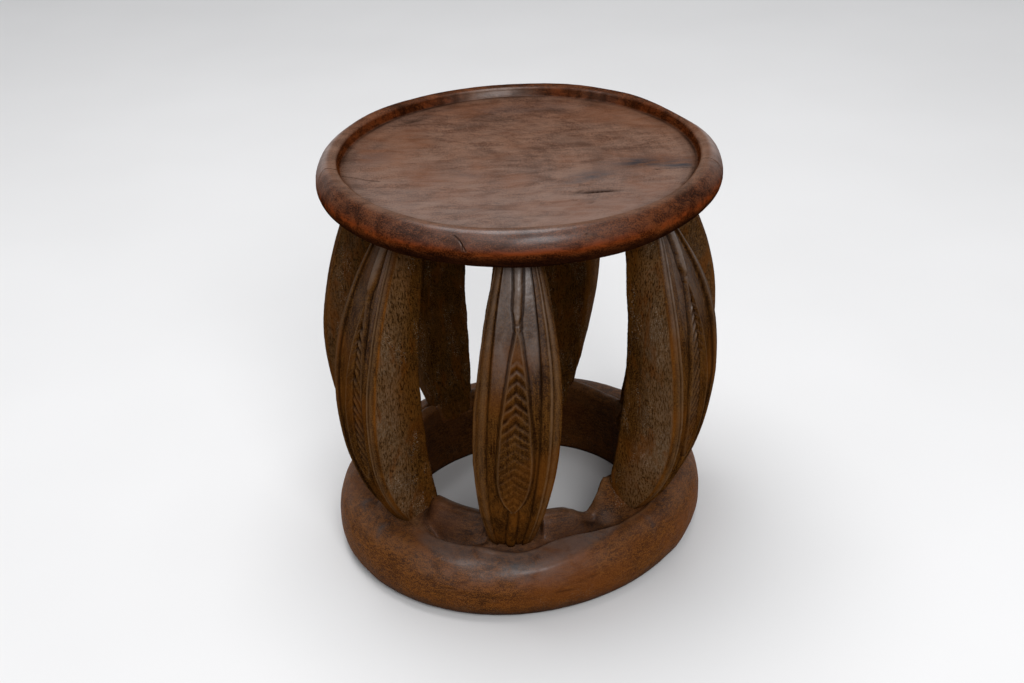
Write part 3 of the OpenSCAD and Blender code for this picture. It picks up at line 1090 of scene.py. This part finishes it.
def carvedSeat():
    at = seatLines()
    # The rim is a little thicker in places, as the hand left it
    waver = 0.45 * np.sin(2 * at.turn + 0.6) + 0.35 * np.sin(5 * at.turn + 2.1)
    waver = waver + 0.2 * np.sin(11 * at.turn) - 0.2
    push = zone(at.along, *seatZones["rim"]) * waver
    cavity, ridge = seatShade(at), seatRidges(at)
    # Each crack cuts in, with painted shade in it and light edges
    for crack in seatCracks:
        gash, lightEdge = crackMarks(at, crack)
        push = push - gash * crack["depth"]
        cavity = cavity + gash**0.5
        ridge = ridge + lightEdge
    dips = spotField(at.x, at.y, seatDents) * at.onFloor
    push = push - dips - smoothStep(at.y, 60, 150) * at.onFloor * seatSizes["settled"]
    flatter = bump(at.degrees, seatSizes["flatSpotDirection"], seatSizes["flatSpotReach"])
    flatSpot = seatSizes["flatSpot"] * flatter * zone(at.along, *seatZones["edge"])
    out = at.radius + at.outward * push - flatSpot
    centreX, centreY = layout["seatCentre"]
    height = seatSizes["underside"] + (at.level + at.upward * push)
    points = np.stack([centreX + out * np.cos(at.turn), centreY + out * np.sin(at.turn), height], -1)
    # Painted shade in the hollows, cracks and dents, painted highlights on the ridges, red brown partly as
    # painted shade, gloss and painted sheen, painted glow, and stains
    fields = {
        "cavity": cavity + dips * 0.7,
        "ridge": ridge,
        "rim": seatRed(at),
        "polish": seatGlossAndSheen(at),
        "glow": seatGlow(at),
        "stain": spotField(at.x, at.y, seatStains) * at.onFloor,
    }
    return roundMesh("carved_seat", points, False, fields)


seatWaver = {"Broad": 0.5, "Fine": 0.16, "Seed": 3}
seatPiece = takeMesh(newPiece("carved_seat", carvedSeat()), handCut(materials["seatWood"]), seatWaver)
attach(seatPiece, "root")
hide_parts("seat")
print(seatPiece.name, len(seatPiece.data.polygons), "faces")


ringSizes = {
    "radius": 176.5,
    "midHeight": 23.0,
    "restRadius": 162.0,
    "holeRadius": 112.0,
    "holeFlare": 4.0,
    "shelf": 58.0,
    "crestWidth": 13.0,
    "crestEase": 6.0,
    "toeRadius": 137.0,
    "beadTop": 61.0,
    "footHalfWidth": 21.0,   # of the gap in the crest behind each foot
    "hollow": 5.0,           # depth of the top between the feet
    "stations": 820,         # sections of the mesh
    "webTop": 34.0,          # how high the wood left round each foot climbs to the crest
    "webSlope": 1.5,
    "footSlope": 0.7,
    "webEase": 1.2,
}
ringRows = {  # points of each part of the section
    "hole": 20, "crest": 15, "slope": 12, "hollow": 8, "bead": 6, "outside": 32, "underside": 14, "rest": 7,
}
crestHeights = [  # direction and height of the inner crest between the feet
    (-180, 79), (-165, 80), (-152, 82), (-139, 85), (-132, 86), (-128, 86), (-124, 85), (-118, 84),
    (-110, 82), (-103, 81), (-84, 80), (-76, 79), (-70, 77), (-65, 71), (-61, 65), (-57, 61), (-53, 64),
    (-49, 77), (-46, 88), (-43, 97), (-38, 92), (-24, 80), (-20, 78), (-8, 80), (10, 81), (26, 82), (44, 79),
    (61, 83), (80, 81), (110, 79), (134, 76), (143, 81), (152, 80), (180, 79),
]
beadLines = [  # direction and radius of the inner edge of the outer bead
    (-180, 141), (-166, 143), (-152, 137), (-142, 139), (-132, 137), (-124, 142), (-116, 144), (-106, 144),
    (-98, 150), (-92, 153), (-85, 149), (-77, 140), (-69, 141), (-63, 145), (-52, 151), (-36, 152),
    (-24, 146), (-12, 142), (2, 144), (20, 152), (34, 145), (50, 142), (64, 147), (76, 152),
    (96, 145), (112, 142), (126, 152), (142, 143), (156, 142), (168, 147), (180, 141),
]
creaseLine = [  # direction and radius of the soft crease where the bead's top turns down
    (-134, 148), (-128, 152), (-120, 162), (-112, 169), (-104, 173.5), (-94, 174),
    (-84, 171), (-72, 165), (-60, 160), (-50, 152), (-44, 148),
]
ringCuts = [  # x, y, length, width, turn in degrees, depth of small chisel cuts
    (-55, -131, 9, 1.5, -10, 0.9),
    (-41, -135, 6, 1.4, -24, 1.0),
    (-40, -127, 5, 1.4, 40, 0.8),
    (-64, -128, 7, 1.2, 6, 0.6),
    (62, -128, 7, 1.6, -30, 0.8),
    (84, -121, 6, 1.4, 20, 0.6),
]
ringCracks = [  # along the outside from the front, height, length, width, turn, depth
    (-42, 30, 34, 1.2, -3, 0.8),
    (-10, 25, 26, 1.1, 2, 0.7),
    (30, 28, 30, 1.1, 3, 0.6),
    (-70, 35, 22, 1.1, -5, 0.6),
    (64, 36, 22, 1.0, 6, 0.5),
]
ringShades = [  # x, y, length, width, turn in degrees, how dark; spots of painted shade
    (-90, -101, 12, 7, 40, 0.75),
    (-62, -112, 16, 5, -20, 0.35),
    (60, -112, 16, 6, 24, 0.4),
    (104, -84, 10, 6, 60, 0.35),
]
ringStains = [  # x, y, length, width, turn in degrees, strength
    (-13, -169, 16, 5, 2, 0.9),
    (6, -168, 9, 4, 0, 0.6),
    (-148, -64, 8, 6, 60, 0.6),
    (-131, -103, 10, 5, 50, 0.5),
    (118, -112, 12, 5, -45, 0.35),
]
webShares = (0.35, 1, 0.8, 0.7, 0.7, 0.8, 0.82)  # of webTop, that the wood behind each foot has
webFeet = (7, 7.5, 7.5, 7.5, 7.5, 7.5, 14)  # height of the wood left round the front of each foot


def runRound(line, rounds):  # takes the corners off a line round the ring
    for _ in range(rounds):
        line = (np.roll(line, 1) + line * 2 + np.roll(line, -1)) / 4
    return line


def ringLines():  # what changes round the ring
    s = ringSizes
    angles = np.linspace(-180, 180, s["stations"], endpoint=False)
    feet = [legDirection(i) for i in range(len(legNames))]
    gaps = np.stack([(angles - foot + 180) % 360 - 180 for foot in feet])
    nearest = np.abs(gaps).min(0)
    crestTop, beadEdge, crease = (
        runRound(np.interp(angles, *np.array(line).T), rounds)
        for line, rounds in ((crestHeights, 14), (beadLines, 14), (creaseLine, 90))
    )
    notch = math.degrees(math.asin(s["footHalfWidth"] / (s["holeRadius"] * 0.98)))
    stands = smoothStep(nearest, notch - 0.5, notch + 0.5)
    between = smoothStep(nearest, 11, 20)
    return SimpleNamespace(
        angles=angles,
        turn=np.radians(angles)[:, None],
        feet=feet,
        gaps=gaps,
        oval=ovalAt(angles)[:, None],
        stands=stands,
        top=s["shelf"] + (crestTop - s["shelf"]) * stands,
        between=between[:, None],
        hollow=s["shelf"] - s["hollow"] * between,
        beadEdge=beadEdge,
        bead=beadEdge[:, None],
        crease=crease[:, None],
        front=bump(angles, -95, 24)[:, None],
        inFront=zone(angles, (-134, -122), (-56, -46))[:, None],
    )


def span(a, b, count, ease=False):  # from one line round the ring to another
    share = np.linspace(0, 1, count)[None, :]
    if ease:
        share = share * share * (3 - 2 * share)
    return a[:, None] * (1 - share) + b[:, None] * share


def ringSection(ring):  # radius and height, from the foot of the hole round to the floor
    s, rows = ringSizes, ringRows
    one = np.ones_like(ring.angles)
    hollow, beadEdge = ring.hollow, ring.beadEdge
    edge = ring.top - s["crestEase"] * np.maximum(ring.stands, 0.05)
    hole, beadTop = s["holeRadius"], s["beadTop"] * one
    holeFoot, crestOut = hole + s["holeFlare"], hole + s["crestWidth"]
    parts = [(span(one * holeFoot, one * hole, rows["hole"]), span(0 * one, edge, rows["hole"]))]
    bend = np.radians(np.linspace(180, 0, rows["crest"]))[None, 1:-1]
    halfWidth = s["crestWidth"] / 2
    parts.append((
        hole + halfWidth + halfWidth * np.sign(np.cos(bend)) * np.abs(np.cos(bend)) ** 0.9 + 0 * one[:, None],
        edge[:, None] + (ring.top - edge)[:, None] * np.sin(bend) ** 0.9,
    ))
    slope, bottom, bead, rest = rows["slope"], rows["hollow"], rows["bead"], rows["rest"]
    parts.append((span(one * crestOut, one * s["toeRadius"], slope), span(edge, hollow, slope, True)))
    toe = one * (s["toeRadius"] + 0.8)
    parts.append((span(toe, beadEdge - 3.5, bottom), span(hollow, hollow + 0.4, bottom)))
    parts.append((span(beadEdge - 3.0, beadEdge, bead), span(hollow + 0.6, beadTop, bead, True)))
    reach = np.maximum(beadEdge + 4, 152)
    parts.append((span(beadEdge + 0.8, reach, bead), span(beadTop + 0.4, beadTop + 0.1, bead)))
    bend = np.radians(np.linspace(90, 0, rows["outside"]))[None, 1:]
    run, rise = s["radius"] - reach, s["beadTop"] - s["midHeight"]
    power = 0.9 - 0.12 * ring.front
    parts.append((
        reach[:, None] + run[:, None] * np.abs(np.cos(bend)) ** power,
        s["midHeight"] + rise * np.abs(np.sin(bend)) ** power,
    ))
    under = s["radius"] - s["restRadius"]
    lower = rounding(s["restRadius"], s["midHeight"], under, s["midHeight"], 0, -90, 1, rows["underside"])
    parts.append((lower[None, 1:, 0] + 0 * one[:, None], lower[None, 1:, 1] + 0 * one[:, None]))
    parts.append((span(one * (s["restRadius"] - 3), one * (holeFoot + 2), rest), 0 * span(one, one, rest)))
    radius, level = (np.concatenate([part[i] for part in parts], 1) for i in (0, 1))
    low = level < 2.0
    for _ in range(3):  # ease the crisp joints of the outline
        for field in (radius, level):
            eased = (np.roll(field, 1, 1) + 2 * field + np.roll(field, -1, 1)) / 4
            eased = (np.roll(eased, 1, 0) + 2 * eased + np.roll(eased, -1, 0)) / 4
            field[:] = np.where(low, field, eased)
    return radius, level


def footWebs(ring, radius, level, onTop):  # wood left round each foot, climbing to the crest at its heel
    s = ringSizes
    webs = np.zeros_like(level)
    for i, foot in enumerate(ring.feet):
        own = staveValues(i)
        off = np.radians(ring.gaps[i])[:, None]
        out = radius * ring.oval * np.cos(off)
        side = np.abs(radius * ring.oval * np.sin(off) - own["Foot shift"])
        heelOut, footOut = own["Foot in"] * ovalAt(foot), own["Foot out"] * ovalAt(foot) - 2
        heel = 1 - np.clip((out - heelOut) / (footOut - heelOut), 0, 1)
        half = (own["Foot outer width"] * (1 - heel) + own["Foot inner width"] * heel) / 2
        away = np.hypot(np.maximum(side - half, 0), np.maximum(out - footOut, 0))
        climb = (s["webTop"] * webShares[i] - webFeet[i]) * heel**0.85 + webFeet[i]
        target = s["shelf"] + climb - away * (s["webSlope"] * heel + s["footSlope"] * (1 - heel))
        farBelow = -99
        over = np.where(np.cos(off) > 0, target - level, farBelow)
        lift = s["webEase"] * np.logaddexp(0, over / s["webEase"]) * onTop
        webs = np.maximum(webs, np.clip(lift / 4, 0, 1))
        level = level + lift
    return level, webs


def flattened(ring, radius, level):  # the front of the bead, from its edge out to the soft crease
    beadTop = ringSizes["beadTop"]
    share = np.clip((radius - ring.bead) / np.maximum(ring.crease - ring.bead, 8), 0, 1)
    outer = slice(40, -22)  # the section's points between the crest and the underside
    creaseLevel = [np.interp(c, r[outer], z[outer]) for c, r, z in zip(ring.crease[:, 0], radius, level)]
    creaseLevel = np.array(creaseLevel)[:, None]
    plane = beadTop + (creaseLevel - beadTop) * share
    inside = (radius > ring.bead) & (radius < ring.crease) & (level > creaseLevel - 1)
    flatter = np.where(inside, 0.38, 0)
    return level + (plane - level) * flatter * ring.inFront * smoothStep(radius, ring.bead, ring.bead + 6)


# Gloss and painted sheen on the front of the bead, most above the soft crease, and a little on the rest of
# the top
def ringGlossAndSheen(ring, radius, level, insideBead):
    aboveCrease = (1 - smoothStep(radius, ring.crease - 6, ring.crease + 4)) * (level > 40)
    aboveCrease = np.maximum(aboveCrease, smoothStep(level, 22, 44) * ring.front * 0.9)
    plainTop = smoothStep(level, 44, 56) * 0.15
    polish = plainTop * (1 - ring.inFront) + (aboveCrease * 0.9 + 0.05) * ring.inFront
    return polish * (1 - 0.6 * insideBead)


def carvedRing():
    ring = ringLines()
    radius, level = ringSection(ring)
    innerWall = (np.arange(radius.shape[1]) < ringRows["hole"])[None, :]
    hole = ringSizes["holeRadius"]
    onTop = smoothStep(radius, hole + 1, hole + 5) * smoothStep(level, 46, 52) * ~innerWall
    level, webs = footWebs(ring, radius, level, onTop)
    onBead = ring.inFront * smoothStep(level, 32, 42) * (radius > ring.bead)
    level = flattened(ring, radius, level)

    # The soft crease, and a few chisel cuts and cracks
    soft = 0.3 * bump(radius, ring.crease, 3.0) - 0.3 * bump(radius, ring.crease + 5, 4)
    centreX, centreY = layout["ringCentre"]
    x, y = radius * np.cos(ring.turn) + centreX, radius * np.sin(ring.turn) + centreY
    cuts = spotField(x, y, ringCuts) * (level > 45)
    shades = spotField(x, y, ringShades) * (level > 45)
    fromFront = np.radians(ring.angles[:, None] + 90) * ringSizes["radius"]
    gashes = spotField(fromFront, level, ringCracks) * (radius > 160)
    radius = radius - gashes
    level = level + soft * onBead - cuts
    grown = radius * ring.oval
    points = np.stack([centreX + grown * np.cos(ring.turn), centreY + grown * np.sin(ring.turn), level], -1)

    # Painted shade in the hollow inside the bead
    inHollow = zone(radius, (121, 130), (ring.bead - 3, ring.bead)) * (level > 40)
    inHollow = inHollow * (0.15 + 0.3 * ring.between) * (1 - webs) * (1 - 0.6 * ring.front)
    insideBead = 1 - smoothStep(radius, ring.bead - 5, ring.bead + 1)
    beadRidge = bump(radius, ring.bead + 1.5, 2.0) * (level > 50) * 0.5
    frontFeet = [bump(ring.angles, ring.feet[i], 17) for i in (6, 1)]
    frontFeet = np.maximum(*frontFeet)[:, None]
    # Painted shade in the hollow, the hole, the cuts, cracks and shaded spots; painted highlights on the
    # bead's edge and the crest; darker red inside the bead and on the webs as painted shade; gloss and
    # painted sheen; painted glow by the crease
    fields = {
        "cavity": inHollow + innerWall * 0.35 + cuts * 0.9 + shades + gashes * 1.1,
        "ridge": beadRidge + bump(radius, 118, 5) * (level > 60) * 0.45,
        "rim": np.maximum(insideBead * 0.35, webs * onTop * 0.9),
        "pitted": smoothStep(-level, -40, -5) * 0.5 + webs * onTop * (0.3 + 0.7 * frontFeet),
        "polish": ringGlossAndSheen(ring, radius, level, insideBead) * (1 - 0.6 * webs),
        "glow": onBead * bump(radius, ring.crease + 2.5, 3.5) * 0.35,
        "stain": spotField(x, y, ringStains) * (level > 40),
    }
    outwards = {mark: field[:, ::-1] for mark, field in fields.items()}  # so that the faces point out
    return roundMesh("carved_ring", points[:, ::-1], True, outwards)


ringWaver = {"Broad": 1.1, "Fine": 0.3, "Seed": 7}
ringPiece = takeMesh(newPiece("carved_ring", carvedRing()), handCut(materials["ringWood"]), ringWaver)
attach(ringPiece, "root")
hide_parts("base_ring")
print(ringPiece.name, len(ringPiece.data.polygons), "faces")


floorSizes = {
    "reach": 9.0,
    "colour": (0.80, 0.79, 0.77, 1),
    "wash": (0.83, 0.82, 0.80, 1),
    "roughness": 0.85,
    "gloss": 0.2,
}


def plainFloor():
    reach = floorSizes["reach"]
    mesh = bpy.data.meshes.new("floor")
    corners = [(-reach, -reach, 0), (reach, -reach, 0), (reach, reach, 0), (-reach, reach, 0)]
    mesh.from_pydata(corners, [], [(0, 1, 2, 3)])
    piece = newPiece("floor", mesh)
    material = bpy.data.materials.new("floorPaint")
    sheet = clearSheet(material)
    clouds = sheet.node("ShaderNodeTexCoord", out=3).noise(3, 2)
    wash = clouds.ramp([(0.3, floorSizes["colour"]), (0.7, floorSizes["wash"])])
    finish = {"Roughness": floorSizes["roughness"], "Specular IOR Level": floorSizes["gloss"]}
    sheet.node("ShaderNodeBsdfPrincipled", None, {"Base Color": wash, **finish}).show()
    mesh.materials.append(material)


worldSizes = {  # the room lights the stool; the camera and the shine see the white
    "room": (0.93, 0.95, 1.0, 1),
    "roomStrength": 0.42,
    "white": (0.96, 0.96, 0.96, 1),
}


def paleWorld():
    world = bpy.data.worlds.new("paleRoom")
    bpy.context.scene.world = world
    sheet = clearSheet(world)
    toCamera, toGloss, through = sheet.node("ShaderNodeLightPath", out=(0, 3, 6))
    seen = (toCamera + toGloss + through).atMost(1)
    room, white = (
        sheet.node("ShaderNodeBackground", None, {"Color": worldSizes[name], "Strength": strength})
        for name, strength in (("room", worldSizes["roomStrength"]), ("white", 1.0))
    )
    sheet.node("ShaderNodeMixShader", None, {0: seen, 1: room, 2: white}).show("ShaderNodeOutputWorld")


lampSizes = {
    "overhead": {
        "place": (-0.2, 0.3, 2.5),
        "aim": (0, 0, 0.25),
        "size": 1.6,
        "power": 38,
        "colour": (0.96, 0.97, 1.0),
    },
    "front": {
        "place": (0.5, -2.3, 2.1),
        "aim": (0, 0, 0.2),
        "size": 1.4,
        "power": 44,
        "colour": (0.96, 0.97, 1.0),
    },
}


def softLamps():
    for name, lamp in lampSizes.items():
        data = bpy.data.lights.new(name, "AREA")
        data.shape = "DISK"
        data.size = lamp["size"]
        data.energy = lamp["power"]
        data.color = lamp["colour"]
        aim = Vector(lamp["aim"]) - Vector(lamp["place"])
        turned = aim.to_track_quat("-Z", "Y").to_matrix().to_4x4()
        newPiece(name, data).matrix_world = Matrix.Translation(lamp["place"]) @ turned


cameraSizes = {
    "place": (-0.0090, -1.1734, 0.8622),
    "down": 29.70,       # degrees below level
    "roll": -0.0352,     # radians
    "lens": 50.0,
    "sensor": 36.0,
    "nearest": 0.05,
    "furthest": 60,
}


def photoCamera():
    data = bpy.data.cameras.new("camera")
    data.lens = cameraSizes["lens"]
    data.sensor_width = cameraSizes["sensor"]
    data.clip_start = cameraSizes["nearest"]
    data.clip_end = cameraSizes["furthest"]
    piece = newPiece("camera", data)
    tilt = Matrix.Rotation(math.radians(90 - cameraSizes["down"]), 4, "X")
    roll = Matrix.Rotation(cameraSizes["roll"], 4, "Z")
    piece.matrix_world = Matrix.Translation(cameraSizes["place"]) @ tilt @ roll
    bpy.context.scene.camera = piece


plainFloor()
paleWorld()
softLamps()
photoCamera()
bpy.context.scene.view_settings.view_transform = "Standard"
bpy.context.view_layer.update()
print("stage, light and camera")
